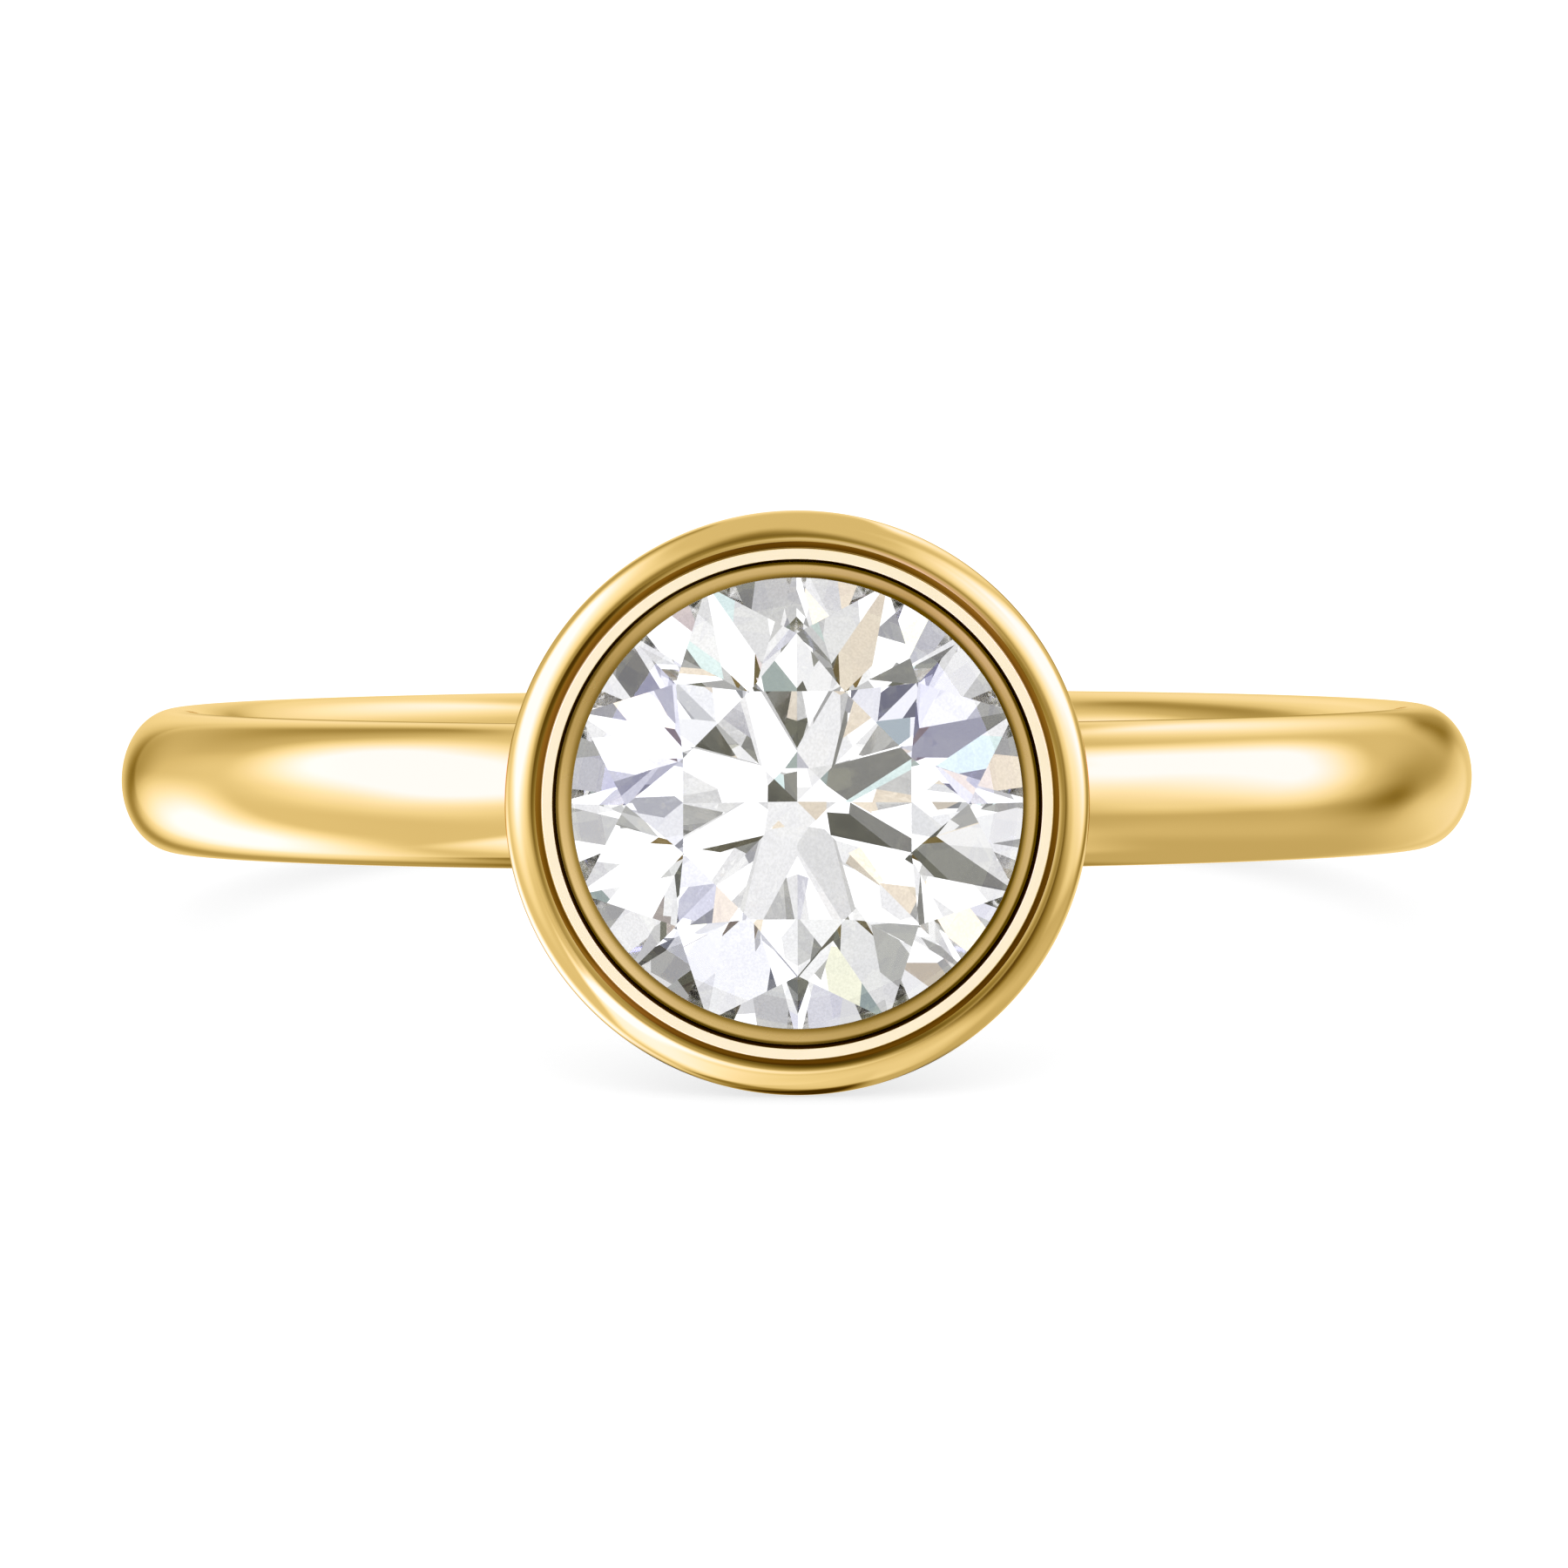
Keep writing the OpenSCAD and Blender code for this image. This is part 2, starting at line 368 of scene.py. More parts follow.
class Nodes:
    """A node tree being filled: each call adds one node, with its sockets linked or set."""

    # Where a Mix node keeps its two colours and their mixture, whose names it uses more than once.
    mix_colours = (6, 7)
    mix_result = 2

    def __init__(self, tree):
        tree.nodes.clear()
        self.tree = tree

    def add(self, kind, settings=None, **sockets):
        """A node; settings go on it, and sockets, their names with _ for a blank, are linked or set."""
        node = self.tree.nodes.new("ShaderNode" + kind)
        for name, value in (settings or {}).items():
            setattr(node, name, value)
        for name, value in sockets.items():
            self.fill(node.inputs[name.replace("_", " ")], value)
        return node

    def fill(self, socket, value):
        """Links a socket to another one, or sets its value."""
        if isinstance(value, bpy.types.NodeSocket):
            self.tree.links.new(value, socket)
        else:
            socket.default_value = value

    def worked(self, kind, operation, output, values):
        """What a maths node of either kind makes of the values that its sockets get in order."""
        node = self.add(kind, {"operation": operation})
        for socket, value in zip(node.inputs, values):
            self.fill(socket, value)
        return node.outputs[output]

    def maths(self, operation, *values):
        """A number worked out from numbers."""
        return self.worked("Math", operation, "Value", values)

    def vector(self, operation, *values):
        """A vector worked out from vectors."""
        return self.worked("VectorMath", operation, "Vector", values)

    def dot(self, where, vector):
        """The share of a place or direction along a vector."""
        return self.worked("VectorMath", "DOT_PRODUCT", "Value", (where, vector))

    def mixed(self, share, first, second):
        """A colour between two colours, by the share of the second."""
        node = self.add("Mix", {"data_type": "RGBA"}, Factor=share)
        for place, colour in zip(self.mix_colours, (first, second)):
            self.fill(node.inputs[place], colour)
        return node.outputs[self.mix_result]

    def ramp(self, value, start, end, low=0.0, high=1.0, smooth=True):
        """A value carried from start..end to low..high, eased at both ends if smooth."""
        settings = {"interpolation_type": "SMOOTHSTEP" if smooth else "LINEAR"}
        sockets = {"From_Min": start, "From_Max": end, "To_Min": low, "To_Max": high}
        return self.add("MapRange", settings, Value=value, **sockets).outputs["Result"]

    def noise(self, where, scale, detail, spread, low=0.0, high=1.0):
        """Low where noise is a spread below its middle, high where it is one above, eased between them."""
        cloud = self.add("TexNoise", Vector=where, Scale=scale, Detail=detail).outputs["Fac"]
        return self.ramp(cloud, 0.5 - spread, 0.5 + spread, low, high)

    def steps(self, value, steps, share):
        """The colour of the last step that starts at or below a value, times a share."""
        node = self.add("ValToRGB", Fac=value)
        node.color_ramp.interpolation = "CONSTANT"
        elements = node.color_ramp.elements
        elements[-1].position = steps[-1][0]
        for place, _ in steps[1:-1]:
            elements.new(place)
        for element, (_, colour) in zip(elements, steps):
            element.color = (*(channel * share for channel in colour), 1)
        return node.outputs["Color"]


def new_material(name):
    """An empty node material and its nodes; a material that's already there is filled anew."""
    material = bpy.data.materials.get(name) or bpy.data.materials.new(name)
    material.use_nodes = True
    return material, Nodes(material.node_tree)


# The point values that the gold reads: satined, darkened by painted shade, and plated white under the
# stone.
GOLD_MARKS = ("satin", "painted_shade", "white")
# How fine the gold's wear, the drift of its tone and the stone's clouding are, in waves to a millimetre.
GOLD_WEAR, GOLD_DRIFT, STONE_CLOUDING = 1.4, 0.16, 0.9
# How much darker the gold's tone drifts, and how far its roughness strays, as shares.
DRIFT_DEPTH, WEAR_DEPTH = 0.045, 0.25
# The tones of the painted shade in turn: from which mark it sets in, at which it is full, and its colour.
PAINTED_SHADE_TONES = ((0.0, 0.65, (0.31, 0.19, 0.03)), (0.65, 1.0, (0.07, 0.035, 0.0)))
STONE_WHITE, STONE_CLOUD = (1.0, 1.0, 1.0), (0.972, 0.972, 0.976)
# The studio's brightest light is blue for the gold's sake, so the stone's glare keeps this share of it.
GLARE_BLUE = 0.62


def polished_gold(finish):
    """Polished gold, with faint wear in gloss and tone; satined, darkened by painted shade or plated where
    its marks say.
    """
    material, n = new_material("polished_gold")
    where = n.add("TexCoord").outputs["Object"]
    marks = (n.add("Attribute", {"attribute_name": mark}) for mark in GOLD_MARKS)
    satin, painted_shade, white = (mark.outputs["Fac"] for mark in marks)
    deep = [channel * (1 - DRIFT_DEPTH) for channel in finish.gold]
    drift = n.noise(where, GOLD_DRIFT / MM, detail=2.0, spread=0.15)
    colour = n.mixed(drift, (*finish.gold, 1), (*deep, 1))
    colour = n.mixed(n.ramp(satin, 0.8, 1.0), colour, (*finish.satin, 1))
    # Painted shade turns the gold brown, then near black.
    for start, full, tone in PAINTED_SHADE_TONES:
        colour = n.mixed(n.ramp(painted_shade, start, full, smooth=False), colour, (*tone, 1))
    colour = n.mixed(white, colour, (*finish.plating, 1))
    smoothest, roughest = (finish.gold_roughness * (1 + sign * WEAR_DEPTH) for sign in (-1, 1))
    blur = n.noise(where, GOLD_WEAR / MM, detail=4.0, spread=0.2, low=smoothest, high=roughest)
    blur = n.maths("ADD", blur, n.maths("MULTIPLY", satin, finish.satin_roughness - finish.gold_roughness))
    gold = n.add("BsdfAnisotropic", Color=colour, Roughness=blur)
    n.add("OutputMaterial", Surface=gold.outputs["BSDF"])
    return material


def cut_stone(finish):
    """Clear cut stone: colourless glass of a high index, with a breath of grey in places."""
    material, n = new_material("cut_stone")
    where = n.add("TexCoord").outputs["Object"]
    clouding = n.noise(where, STONE_CLOUDING / MM, detail=3.0, spread=0.15)
    stone = n.add(
        "BsdfPrincipled",
        Base_Color=n.mixed(clouding, (*STONE_WHITE, 1), (*STONE_CLOUD, 1)),
        Roughness=0.0,
        IOR=finish.stone_ior,
        Transmission_Weight=1.0,
        Specular_Tint=(finish.stone_glare, finish.stone_glare, finish.stone_glare * GLARE_BLUE, 1),
    )
    n.add("OutputMaterial", Surface=stone.outputs["BSDF"])
    return material


# Pieces


class RING_OT_band(bpy.types.Operator):
    """Make the plain rounded band"""

    bl_idname = "ring.band"
    bl_label = "Band"

    around = 400
    outside_points, edge_points, flat_points = 61, 18, 9
    # How many degrees the curve of an inside edge stops short of the flat, for a small bevel.
    bevel_turn = 0.6
    # A painted dark reflection: a fine line beside the upper widest edge, its strength by degrees round the
    # section.
    painted_edge_line = ((80, 0.0), (85, 0.6), (90, 0.6), (92, 0.0))
    # It fades in between these distances in front of the finger axis, as shares of the band's radius.
    line_start, line_full = 0.1, 0.5

    def section(self, ring):
        """Section as (radius, height): half an ellipse outside, and inside a flat between two arcs."""
        middle, inside = (ring.edge_r, 0), (ring.inside_depth, ring.half_w)
        flat_share = (ring.edge_r - ring.hole_r) / ring.inside_depth
        flat = ring.half_w * math.sqrt(1 - flat_share**2)
        turn = math.degrees(math.acos(flat_share)) + self.bevel_turn
        return np.concatenate(
            [
                arc(middle, (ring.dome, ring.half_w), -90, 90, self.outside_points),
                arc(middle, inside, 90, 180 - turn, self.edge_points)[1:],
                line((ring.hole_r, flat), (ring.hole_r, -flat), self.flat_points, ring.edge),
                arc(middle, inside, 180 + turn, 270, self.edge_points)[:-1],
            ]
        )

    def execute(self, context):
        ring = Ring(context.scene)
        profile = self.section(ring)
        points = revolved(profile, self.around)
        # Under the stone the band is hollowed: no point stands above the seat, along the head's axis.
        x, y, z = np.moveaxis(points, -1, 0)
        below_seat = ring.seat(np.hypot(x, z)) - 2 * ring.edge
        points[..., 1] = np.where(y < 0, np.maximum(y, -below_seat), y)
        faces = grid_faces(self.around, len(profile), closed=True)
        piece = mesh_object("band", ring.placed(points), faces, smooth=True)

        out, up = (profile[:, 0] - ring.edge_r) / ring.dome, profile[:, 1] / ring.half_w
        shade = read_off(np.degrees(np.arctan2(np.abs(up), out)), self.painted_edge_line) * (up > 0)
        front = rise(-points[..., 1] / ring.band_r, self.line_start, self.line_full)
        # The painted dark line goes into the gold's second mark, with the bezel's painted shade.
        for mark, values in zip(GOLD_MARKS, (0, shade * front, 0)):
            marked(piece, mark, np.broadcast_to(values, points.shape[:2]))
        seated(piece, "mounting", polished_gold(context.scene.ring_finish))
        return {"FINISHED"}


# How much painted shade darkens the roll's inner flank, by the distance outward from the lip, in
# millimetres.
ROLL_PAINTED_SHADE = ((0, 0.5), (0.07, 0.5), (0.09, 0.75), (0.11, 0.88), (0.14, 0.7), (0.17, 0.3), (0.2, 0))
# How much painted shade darkens the ledge, by the distance outward from the stone's opening, in
# millimetres.
LEDGE_PAINTED_SHADE = ((0, 0.9), (0.04, 0.78), (0.075, 0.5), (0.11, 0.28), (0.18, 0.2), (0.21, 1))
# How much painted shade darkens the lip's outer wall at its foot and at its top, and how satined the ledge
# is.
WALL_PAINTED_SHADE, LEDGE_SATIN = (0.9, 0.35), 0.6
# Painted shade that differs round the head: what the roll's painted shade is multiplied by, how far outward
# it is moved, in millimetres, and what is added to the ledge's painted shade: all at every 30 degrees round
# the head, from the right and upwards as one looks at it.
ROLL_SHADE = (0.6, 0.9, 0.8, 0.75, 0.7, 0.85, 0.8, 0.55, 1.05, 1.13, 1.0, 0.6, 0.6)
ROLL_SHIFT = (0.04, 0.0, 0.02, 0.07, 0.05, 0.01, 0.01, 0.01, -0.02, -0.02, 0.0, 0.02, 0.04)
LEDGE_SHADE = (0.1, 0.2, 0.4, 0.1, -0.15, -0.15, -0.15, 0.0, 0.05, -0.15, 0.1, 0.3, 0.1)


class RING_OT_bezel(bpy.types.Operator):
    """Make the bezel: tapered cup, round roll, flat lip, ledge and the seat inside"""

    bl_idname = "ring.bezel"
    bl_label = "Bezel"

    around = 400
    cone_points, roll_points, wall_points = 24, 72, 8
    lip_points, inner_wall_points, girdle_points = 5, 6, 4

    def wall_end(self, ring):
        """Where the cup's wall leaves the roll: the lower crossing of a straight line and a circle."""
        way = np.array([ring.cup_top - ring.foot_r, ring.roll_z - ring.foot_z])
        way /= np.linalg.norm(way)
        inside = ring.cup_top - ring.roll_ring
        reach = inside * way[0] + math.sqrt((inside * way[0]) ** 2 - inside**2 + ring.roll_r**2)
        return np.array([ring.cup_top, ring.roll_z]) - reach * way

    def round_head(self, values):
        """Values that stand evenly spaced round the head, read at each turned profile, as a column."""
        turn = np.arange(self.around)[:, None] / self.around
        return np.interp(turn, np.linspace(0, 1, len(values)), values)

    def roll(self, ring, wall):
        """The roll's arc from cup to lip, the painted shade on its inner flank, and the height at which it
        ends.
        """
        low = math.degrees(math.atan2(wall[1] - ring.roll_z, wall[0] - ring.roll_ring))
        high = 180 - math.degrees(math.acos((ring.roll_ring - ring.lip_out) / ring.roll_r))
        step = math.degrees(ring.edge / ring.roll_r)
        middle, radii = (ring.roll_ring, ring.roll_z), (ring.roll_r, ring.roll_r)
        points = arc(middle, radii, low + step, high - step, self.roll_points)
        outward = (points[:, 0] - ring.lip_out) / MM - self.round_head(ROLL_SHIFT)
        painted_shade = self.round_head(ROLL_SHADE) * read_off(outward, ROLL_PAINTED_SHADE) * (points[:, 1] > ring.roll_z)
        return points, painted_shade, ring.roll_z + ring.roll_r * math.sin(math.radians(high))

    def ledge(self, ring):
        """The sloping ledge from the lip's inner wall to the stone, with its painted shade."""
        start, end = (ring.ledge_r, ring.ledge_z), (ring.opening_r, ring.opening_z)
        points = line(start, end, self.cone_points, ring.edge)
        painted_shade = read_off((points[:, 0] - ring.opening_r) / MM, LEDGE_PAINTED_SHADE) + self.round_head(LEDGE_SHADE)
        return points, np.clip(painted_shade, 0, 1)

    def parts(self, ring):
        """The stretches of the profile in order, each with its marks: satin, painted shade and white."""
        wall = self.wall_end(ring)
        roll, roll_painted_shade, groove_z = self.roll(ring, wall)
        ledge, ledge_painted_shade = self.ledge(ring)
        ease, wall_painted_shade = ring.edge, np.linspace(*WALL_PAINTED_SHADE, self.wall_points)
        knee_z = ring.seat(ring.knee_r)
        # The radius at which the seat comes down to the height of the cup's foot.
        radii = np.array([0, ring.knee_r, ring.stone_r])
        foot_in = np.interp(ring.foot_z, ring.seat(radii), radii)
        foot, foot_inside = (ring.foot_r, ring.foot_z), (foot_in, ring.foot_z)
        groove = (ring.lip_out, groove_z)
        lip_out, lip_in = (ring.lip_out, ring.lip_z), (ring.lip_in, ring.lip_z)
        corner, opening = (ring.ledge_r, ring.ledge_z), (ring.opening_r, ring.opening_z)
        girdle_top, girdle_low = (ring.seat_r, ring.seat_top), (ring.seat_r, ring.seat_low)
        knee = (ring.knee_r, knee_z)
        # The painted shade is full on the lip's inner wall, and follows the tables on the roll, the outer
        # wall and the ledge.
        return (
            (line(foot, wall, self.cone_points, ease), (0, 0, 0)),
            (roll, (0, roll_painted_shade, 0)),
            (line(groove, lip_out, self.wall_points, ease), (0, wall_painted_shade, 0)),
            (line(lip_out, lip_in, self.lip_points, ease), (1, 0, 0)),
            (line(lip_in, corner, self.inner_wall_points, ease), (0, 1, 0)),
            (ledge, (LEDGE_SATIN, ledge_painted_shade, 0)),
            (line(opening, girdle_top, self.girdle_points, ease / 2), (0, 0, 1)),
            (line(girdle_top, girdle_low, self.girdle_points, ease / 2), (0, 0, 1)),
            (line(girdle_low, knee, self.cone_points, ease / 2)[:-1], (0, 0, 1)),
            (line(foot_inside, foot, self.wall_points, ease), (0, 0, 0)),
        )

    def execute(self, context):
        ring = Ring(context.scene)
        parts = self.parts(ring)
        profile = np.concatenate([points for points, _ in parts])
        corners = ring.placed(ring.on_head(revolved(profile, self.around)))
        faces = grid_faces(self.around, len(profile), closed=True)
        piece = mesh_object("bezel", corners, faces, smooth=True)
        for number, mark in enumerate(GOLD_MARKS):
            values = [np.broadcast_to(marks[number], (self.around, len(points))) for points, marks in parts]
            marked(piece, mark, np.concatenate(values, axis=1))
        seated(piece, "mounting", polished_gold(context.scene.ring_finish))
        return {"FINISHED"}


class RING_OT_stone(bpy.types.Operator):
    """Make the round brilliant cut stone with all its facets"""

    bl_idname = "ring.stone"
    bl_label = "Stone"

    # How many short chords the girdle has along one upper or lower half.
    per_half = 12

    def polar(self, azimuth, r, z):
        """Points r * (cos azimuth, sin azimuth) about the head's axis, at height z."""
        return np.stack(np.broadcast_arrays(r * np.cos(azimuth), r * np.sin(azimuth), z), axis=-1)

    def corners(self, ring, around):
        """The facets' corners: table, tips of the stars, girdle's upper and lower edge, knees and point."""
        main = np.arange(MAINS) * SECTOR
        girdle = np.arange(around) * 2 * np.pi / around
        # How far the round girdle stands out past the chord between two corners of its scallops.
        dip = ring.stone_r * np.cos(girdle % (SECTOR / 2) - SECTOR / 4) - ring.chord_r
        return np.concatenate(
            [
                self.polar(main + SECTOR / 2, ring.table_r, ring.table_z),
                self.polar(main, ring.star_r, ring.girdle_top + ring.star_h),
                self.polar(girdle, ring.stone_r, ring.girdle_top - dip * ring.upper_slope),
                self.polar(girdle, ring.stone_r, ring.girdle_low + dip * ring.lower_slope),
                self.polar(main, ring.knee_r, ring.girdle_low - ring.knee_h),
                self.polar(np.zeros(1), 0.0, ring.point_z),
            ]
        )

    def facets(self, around):
        """The faces by their corners: table, stars, kites, upper halves, girdle, lower halves and mains."""
        table = np.arange(MAINS)
        after, before = (table + 1) % MAINS, (table - 1) % MAINS
        tip = table + MAINS
        top = 2 * MAINS + np.arange(around)
        low = top + around
        knee = low[-1] + 1 + table
        point = np.full(MAINS, knee[-1] + 1)
        between = (2 * table + 1) * self.per_half
        # Each half runs along the girdle between two scallops' corners, to one side of its tip or knee.
        starts = (2 * table[:, None] + np.array([-1, 0])).reshape(-1, 1) * self.per_half
        along = (starts + np.arange(self.per_half + 1)) % around
        owner = np.repeat(table, 2)[:, None]
        following = np.roll(np.arange(around), -1)
        return (
            [table.tolist()]
            + np.stack([table[before], tip, table], 1).tolist()
            + np.stack([table, tip, top[between], tip[after]], 1).tolist()
            + np.concatenate([tip[owner], top[along]], 1).tolist()
            + np.stack([top, low, low[following], top[following]], 1).tolist()
            + np.concatenate([knee[owner], low[along[:, ::-1]]], 1).tolist()
            + np.stack([point, knee[after], low[between], knee], 1).tolist()
        )

    def execute(self, context):
        ring = Ring(context.scene)
        around = 2 * MAINS * self.per_half
        corners = ring.placed(ring.on_head(self.corners(ring, around)))
        piece = mesh_object("stone_cut", corners, self.facets(around), smooth=False)
        seated(piece, "stone", cut_stone(context.scene.ring_finish))
        return {"FINISHED"}


# Stage

# The colour of the studio's light by its brightness: warm where it is dark, white at about 1, and bluer the
# brighter it is, because bluish light is what gold gives back as white. It was worked out from the photo's
# gold: a scratch script gave its usual red and green at steps of blue.
LIGHT_COLOURS = (
    (0.0, (0.0, 0.0, 0.0)),
    (0.08, (0.14, 0.08, 0.0)),
    (0.36, (0.43, 0.36, 0.14)),
    (0.69, (0.73, 0.69, 0.52)),
    (1.09, (1.09, 1.09, 1.09)),
    (1.69, (1.36, 1.42, 1.69)),
    (2.95, (1.6, 1.76, 2.85)),
    (5.2, (2.1, 2.08, 5.4)),
    (5.8, (2.2, 2.18, 6.2)),
)

# Soft boxes, in whole degrees as the ring sees them: azimuth to the right of the camera, elevation, turn;
# half width and the softness of its left and right edge; half height and the softness of its lower and
# upper edge; brightness. Those below the horizon stand for light that comes up from the table. The boxes
# and flags weren't found by hand: a scratch program fitted them to the photo's gold. Here the fitted
# values are rounded, and all rows but the front left card stand within 4 degrees of them.
SOFT_BOXES = (
    ("left key", -78, 32, -10, 27, 15, 28, 18, 16, 15, 6),
    ("left fill", -45, 14, 10, 22, 20, 20, 10, 10, 20, 3.5),
    ("left low fill", -75, 6, -20, 24, 20, 20, 5, 25, 12, 4.8),
    ("right key", 82, 27, -25, 30, 20, 12, 20, 20, 12, 5.2),
    ("right fill", 32, 24, -37, 14, 8, 20, 19, 17, 10, 2.8),
    ("right low fill", 75, -9, 5, 38, 15, 18, 17, 30, 12, 1.1),
    ("right rear strip", 155, 38, -57, 10, 32, 22, 6, 15, 3, 6.5),
    ("rear", -175, 4, -10, 9, 34, 10, 29, 8, 20, 1.8),
    ("rear low right", 150, -18, 13, 14, 18, 3, 8, 14, 10, 1.3),
    ("front glint", -14, -10, 40, 13, 16, 10, 3, 8, 2, 10),
    ("front left card", -35, -41, 55, 31, 15, 10, 10, 12, 3, 3),
    ("rear left card", -131, -32, -72, 20, 12, 14, 15, 14, 12, 5.1),
    ("left table", -87, -38, -27, 62, 7, 10, 50, 2, 5, 0.3),
    ("front table", 5, -49, 0, 30, 8, 12, 40, 8, 12, 0.7),
    ("rear table", -163, -38, 0, 12, 2, 9, 9, 10, 8, 0.3),
)
# Dark flags: the same, but with the share of the light that each one takes in place of the brightness.
FLAGS = (
    ("right front edge", 28, -4, -47, 25, 4, 25, 15, 3, 8, 1),
    ("right side edge", 71, -22, 0, 56, 16, 7, 6, 17, 6, 0.97),
    ("right rear edge", 125, -7, 22, 20, 16, 30, 10, 5, 8, 0.45),
    ("rear edge", 166, 4, -15, 12, 8, 9, 7, 5, 4, 1),
    ("left rear corner", -152, 34, -38, 11, 3, 34, 11, 18, 16, 0.85),
    ("left rear edge", -154, -4, 0, 6, 9, 9, 13, 8, 10, 0.4),
    ("rear shade", -166, -57, 0, 16, 3, 2, 55, 40, 44, 0.95),
    ("camera", -5, 25, 7, 5, 9, 4, 16, 9, 15, 0.63),
)
# How far a direction dips or rises where the even tent reaches its lower or its upper brightness.
HORIZON = 0.2

# The light that the stone gathers from its tent of cells, about STONE_CELLS of them to a radian. For the
# tones, and then for the tints laid over them: the share of the cells from which a colour holds, and the
# colour.
STONE_CELLS = 9.0
STONE_TONES = (
    (0.0, (0.08, 0.08, 0.08)),
    (0.06, (0.22, 0.22, 0.22)),
    (0.17, (0.40, 0.40, 0.40)),
    (0.29, (0.60, 0.60, 0.60)),
    (0.43, (0.78, 0.78, 0.78)),
    (0.58, (0.93, 0.93, 0.93)),
    (0.80, (1.35, 1.35, 1.35)),
)
STONE_TINTS = (
    (0.0, (1.0, 0.88, 0.72)),
    (0.06, (0.83, 1.0, 0.98)),
    (0.10, (0.91, 0.91, 1.0)),
    (0.13, (0.88, 0.76, 0.76)),
    (0.16, (1.0, 1.0, 0.80)),
    (0.18, (1.0, 1.0, 1.0)),
)
# A colour ramp holds 1 at most, so it gets the tones divided by this, which the tent's glow makes good.
TENT_LIGHT = 1.5
# A fine grain over the cells: waves to a radian, and how dim and how bright it makes them.
STONE_GRAIN = 1500.0
GRAIN_LOW, GRAIN_HIGH = 0.93, 1.05


def soft_rectangle(where, azimuth, elevation, turn, wide, left_soft, right_soft, high, low_soft, high_soft):
    """1 inside a soft edged rectangle in the sky, 0 outside, by the angles along it and across it."""
    a, e, t = np.radians((azimuth, elevation, turn))
    middle = np.array([np.sin(a) * np.cos(e), -np.cos(a) * np.cos(e), np.sin(e)])
    right = np.array([np.cos(a), np.sin(a), 0])
    up = np.cross(right, -middle)
    u = np.degrees(np.arctan2(where @ (right * np.cos(t) + up * np.sin(t)), where @ middle))
    v = np.degrees(np.arcsin(np.clip(where @ (up * np.cos(t) - right * np.sin(t)), -1, 1)))
    sides = ((u, wide, left_soft), (-u, wide, right_soft), (v, high, low_soft), (-v, high, high_soft))
    return math.prod(rise(angle, -half - soft, -half + soft) for angle, half, soft in sides)


def brightness(where, stage):
    """How bright the studio is in these directions: an even tent, less the flags, plus the boxes."""
    total = stage.tent_low + (stage.tent - stage.tent_low) * rise(where[..., 2], -HORIZON, HORIZON)
    for _, *place, share in FLAGS:
        total = total * (1 - share * soft_rectangle(where, *place))
    for _, *place, light in SOFT_BOXES:
        total = total + light * stage.boxes * soft_rectangle(where, *place)
    return total


def studio_light(level):
    """The studio's light in red, green, blue and a full alpha, by its brightness."""
    places, colours = zip(*LIGHT_COLOURS)
    channels = [np.interp(level, places, channel) for channel in zip(*colours)]
    return np.stack([*channels, np.ones_like(level)], axis=-1)


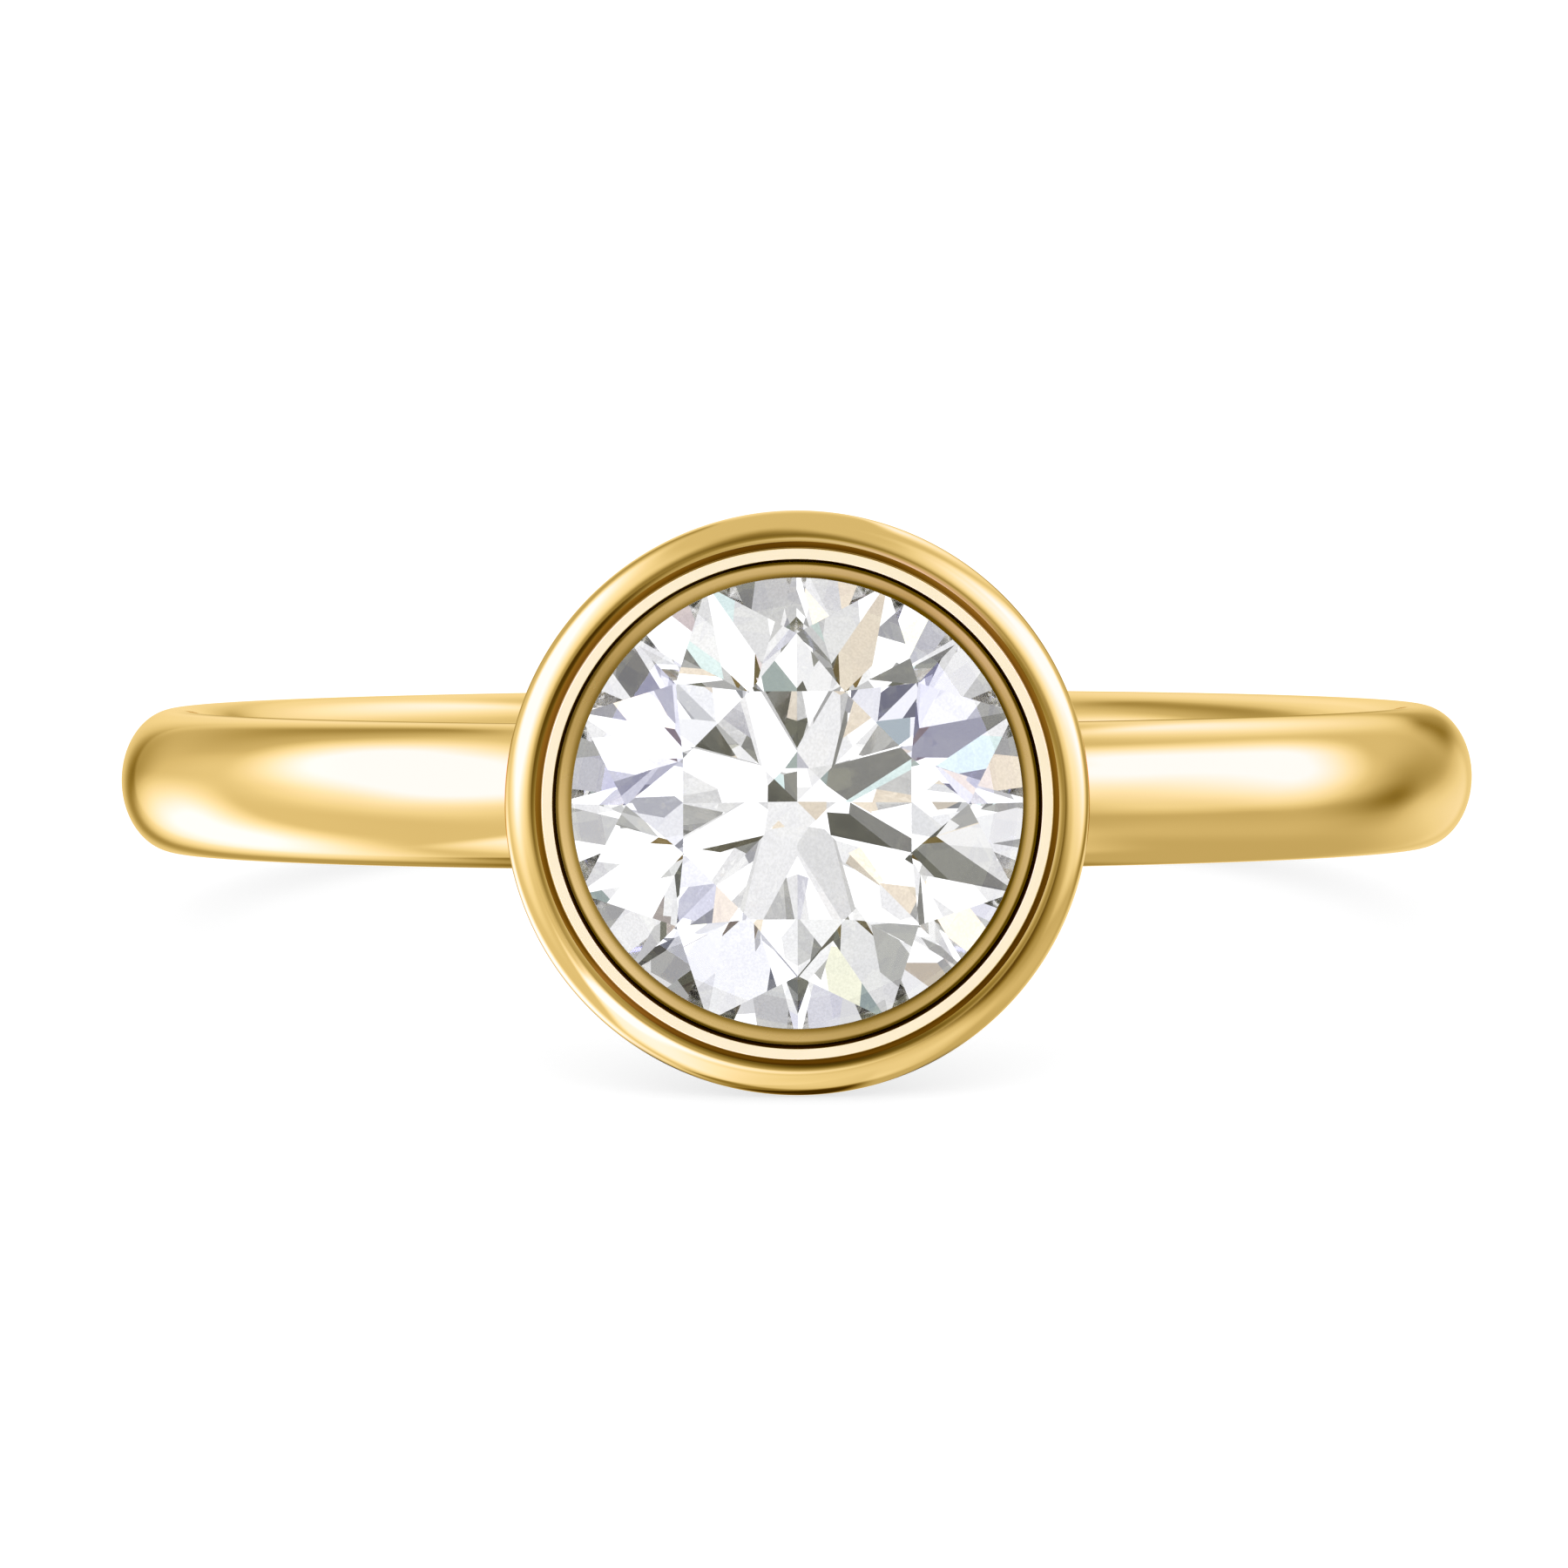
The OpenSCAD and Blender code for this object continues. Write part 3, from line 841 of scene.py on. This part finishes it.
class RING_OT_stage(bpy.types.Operator):
    """Set the floor, the studio light and the camera"""

    bl_idname = "ring.stage"
    bl_label = "Stage"

    floor_half = 2.0
    dome_r = 1.5
    dome_around, dome_rows = 360, 180
    tent_r = 60 * MM
    tent_around, tent_rows = 48, 24
    # How high above the floor the stone's tent is pressed flat.
    tent_flat_z = 0.02 * MM
    # The dark card under the bezel: its middle and its half width and half depth.
    contact_middle = np.array([0, -9.3, 0.02]) * MM
    contact_half = (3.2 * MM, 1.6 * MM)
    contact_colour = (0.02, 0.02, 0.02)
    # How many faces of the stone and the gold a ray of light may meet on its way.
    bounces = 32

    def dressed(self, piece, material, *rays):
        """Gives a stage piece its material, and shows it to these kinds of ray alone."""
        material.cycles.emission_sampling = "NONE"
        piece.data.materials.append(material)
        for kind in ("camera", "diffuse", "glossy", "transmission", "shadow"):
            setattr(piece, "visible_" + kind, kind in rays)

    def floor(self, stage):
        """A plain pale floor: white paper that glows a little, so that shade shows near contact alone."""
        material, n = new_material("floor")
        both = n.add("AddShader")
        n.fill(both.inputs[0], n.add("BsdfDiffuse", Color=(*stage.floor_colour, 1)).outputs["BSDF"])
        n.fill(both.inputs[1], n.add("Emission", Strength=stage.floor_glow).outputs["Emission"])
        n.add("OutputMaterial", Surface=both.outputs["Shader"])
        paper = card("floor", np.zeros(3), self.floor_half, self.floor_half)
        self.dressed(paper, material, "camera", "diffuse", "transmission", "shadow")

    def floor_light(self, stage):
        """The world: an even white light, which falls on the floor."""
        world = bpy.data.worlds.new("studio")
        bpy.context.scene.world = world
        world.use_nodes = True
        n = Nodes(world.node_tree)
        sky = n.add("Background", Color=(*(stage.floor_light,) * 3, 1))
        n.add("OutputWorld", Surface=sky.outputs["Background"])

    def contact_shade(self):
        """A small dark card under the bezel, where it touches the floor. It fades out over its outer half,
        and only the gold shows it."""
        material, n = new_material("contact_shade")
        where = n.vector("SUBTRACT", n.add("TexCoord").outputs["Object"], tuple(self.contact_middle))
        shape = 1.0
        for axis, half in zip(((1, 0, 0), (0, 1, 0)), self.contact_half):
            away = n.maths("ABSOLUTE", n.dot(where, axis))
            shape = n.maths("MULTIPLY", shape, n.ramp(away, half, half / 2))
        mixed = n.add("MixShader", Fac=shape)
        n.fill(mixed.inputs[1], n.add("BsdfTransparent").outputs["BSDF"])
        n.fill(mixed.inputs[2], n.add("BsdfDiffuse", Color=(*self.contact_colour, 1)).outputs["BSDF"])
        n.add("OutputMaterial", Surface=mixed.outputs["Shader"])
        self.dressed(card("contact_shade", self.contact_middle, *self.contact_half), material, "glossy")

    def stone_tent(self, ring):
        """A tent of small white, grey and tinted cells for the stone alone: a ball round it, pressed flat
        above the floor."""
        centre = ring.placed(ring.on_head(np.array([0, 0, ring.girdle_top])))
        directions, faces = ball(self.tent_around, self.tent_rows)
        points = centre + directions * self.tent_r
        points[..., 2] = np.maximum(points[..., 2], self.tent_flat_z)
        material, n = new_material("stone_tent")
        where = n.add("TexCoord").outputs["Object"]
        direction = n.vector("NORMALIZE", n.vector("SUBTRACT", where, tuple(centre)))
        cell = n.add("TexVoronoi", Vector=direction, Scale=STONE_CELLS).outputs["Color"]
        tone = n.steps(n.dot(cell, (1, 0, 0)), STONE_TONES, 1 / TENT_LIGHT)
        tint = n.steps(n.dot(cell, (0, 1, 0)), STONE_TINTS, 1.0)
        low, high = TENT_LIGHT * GRAIN_LOW, TENT_LIGHT * GRAIN_HIGH
        grain = n.noise(direction, STONE_GRAIN, detail=1.0, spread=0.2, low=low, high=high)
        glow = n.add("Emission", Color=n.vector("MULTIPLY", tone, tint), Strength=grain)
        n.add("OutputMaterial", Surface=glow.outputs["Emission"])
        self.dressed(mesh_object("stone_tent", points, faces, smooth=False), material, "transmission")

    def gold_dome(self, stage):
        """The studio that the gold mirrors: a wide dome, as bright as boxes and flags make it there."""
        directions, faces = ball(self.dome_around, self.dome_rows)
        dome = mesh_object("studio_dome", directions * self.dome_r, faces, smooth=False)
        marked(dome, "light", studio_light(brightness(directions, stage)), "FLOAT_COLOR", "color")
        material, n = new_material("studio_dome")
        glow = n.add("Emission", Color=n.add("Attribute", {"attribute_name": "light"}).outputs["Color"])
        n.add("OutputMaterial", Surface=glow.outputs["Emission"])
        self.dressed(dome, material, "glossy")

    def camera(self, stage, ring):
        """A long lens that looks at the ring from just above the band's own plane."""
        lens = bpy.data.cameras.new("camera")
        camera = bpy.data.objects.new("camera", lens)
        bpy.context.scene.collection.objects.link(camera)
        bpy.context.scene.camera = camera
        lens.sensor_width = 36
        lens.lens = lens.sensor_width * stage.distance / stage.frame_width
        lens.clip_start = 0.01
        lens.clip_end = 10
        above = ring.tilt + stage.view_rise
        back = Vector((0, -math.cos(above), math.sin(above)))
        right = Vector((1, 0, 0))
        up = back.cross(right)
        roll = Matrix.Rotation(-stage.view_roll, 3, back)
        turn = Matrix((right, up, back)).transposed()
        target = Vector((0, ring.shift, ring.lift)) - right * stage.ring_right - up * stage.ring_up
        camera.matrix_world = Matrix.Translation(target + back * stage.distance) @ (roll @ turn).to_4x4()

    def execute(self, context):
        scene = context.scene
        stage, ring = scene.ring_stage, Ring(scene)
        self.floor(stage)
        self.floor_light(stage)
        self.contact_shade()
        self.stone_tent(ring)
        self.gold_dome(stage)
        self.camera(stage, ring)
        scene.view_settings.view_transform = "Standard"
        scene.view_settings.look = "None"
        for kind in ("max", "transmission", "glossy"):
            setattr(scene.cycles, kind + "_bounces", self.bounces)
        scene.cycles.caustics_reflective = False
        scene.cycles.caustics_refractive = False
        return {"FINISHED"}


class RING_PT_panel(bpy.types.Panel):
    """Lists the ring's sizes, finishes and pieces"""

    bl_label = "Solitaire Ring"
    bl_idname = "RING_PT_panel"
    bl_space_type = "VIEW_3D"
    bl_region_type = "UI"
    bl_category = "Ring"

    def draw(self, context):
        for name, group in SETTINGS.items():
            box = self.layout.box()
            box.label(text=group.__doc__)
            for field in group.__annotations__:
                box.prop(getattr(context.scene, name), field)
        for operator in OPERATORS:
            self.layout.operator(operator.bl_idname)


SETTINGS = {
    "ring_band": BandSettings,
    "ring_stone": StoneSettings,
    "ring_bezel": BezelSettings,
    "ring_finish": FinishSettings,
    "ring_stage": StageSettings,
}
OPERATORS = (RING_OT_band, RING_OT_bezel, RING_OT_stone, RING_OT_stage)


def register():
    """Registers the settings, the operators and the panel."""
    for name, group in SETTINGS.items():
        bpy.utils.register_class(group)
        setattr(bpy.types.Scene, name, PointerProperty(type=group))
    for operator in OPERATORS:
        bpy.utils.register_class(operator)
    bpy.utils.register_class(RING_PT_panel)


def unregister():
    """Takes back what register does, in the reverse order."""
    bpy.utils.unregister_class(RING_PT_panel)
    for operator in reversed(OPERATORS):
        bpy.utils.unregister_class(operator)
    for name, group in reversed(SETTINGS.items()):
        delattr(bpy.types.Scene, name)
        bpy.utils.unregister_class(group)


def main():
    """Makes every piece and the stage."""
    register()
    bpy.ops.ring.band()
    bpy.ops.ring.bezel()
    bpy.ops.ring.stone()
    bpy.ops.ring.stage()
    bpy.context.view_layer.update()


if __name__ == "__main__":
    main()
